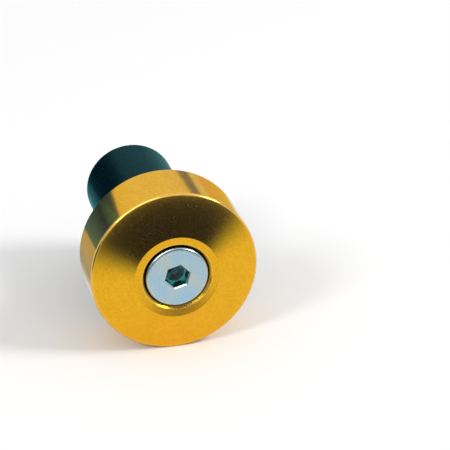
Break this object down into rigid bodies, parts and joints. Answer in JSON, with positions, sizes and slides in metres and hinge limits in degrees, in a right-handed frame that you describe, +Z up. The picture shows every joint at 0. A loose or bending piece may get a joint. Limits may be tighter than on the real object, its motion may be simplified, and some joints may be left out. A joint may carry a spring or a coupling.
{
  "type": "bar end weight",
  "caption": "Turned bar end weight with a shallow cone face, held on a handlebar tube by a countersunk screw, a rubber expander sleeve and a cone nut.",
  "frame": {"origin": "centre of the weight's back face, on the axis, where the end of the handlebar tube meets it", "axes": "+Y along the axis into the handlebar, so the cone face and screw head look along -Y; +Z up"},
  "size_m": [0.032, 0.044, 0.032],
  "materials": {
    "gold_anodised_aluminium": "fine turned, gold anodised, semi-gloss",
    "zinc_plated_steel": "bright zinc plating with a bluish passivation",
    "black_rubber": "moulded, matte"
  },
  "bodies": {
    "weight": {"weight": "gold_anodised_aluminium", "rubber_sleeve": "black_rubber"},
    "screw": {"clamp_screw": "zinc_plated_steel"},
    "nut": {"expander_nut": "zinc_plated_steel"}
  },
  "joints": [
    {"name": "screw_turn", "type": "hinge", "parent": "weight", "child": "screw", "pos_m": [0, 0, 0], "axis": [0, 1, 0], "range_deg": [0, 1350]},
    {"name": "nut_travel", "type": "slide", "parent": "weight", "child": "nut", "axis": [0, -1, 0], "range_m": [0, 0.00375], "deforming": ["rubber_sleeve"]}
  ],
  "couplings": [
    {"joint": "screw_turn", "follows": "nut_travel", "rad_per_m": 6283.2}
  ]
}
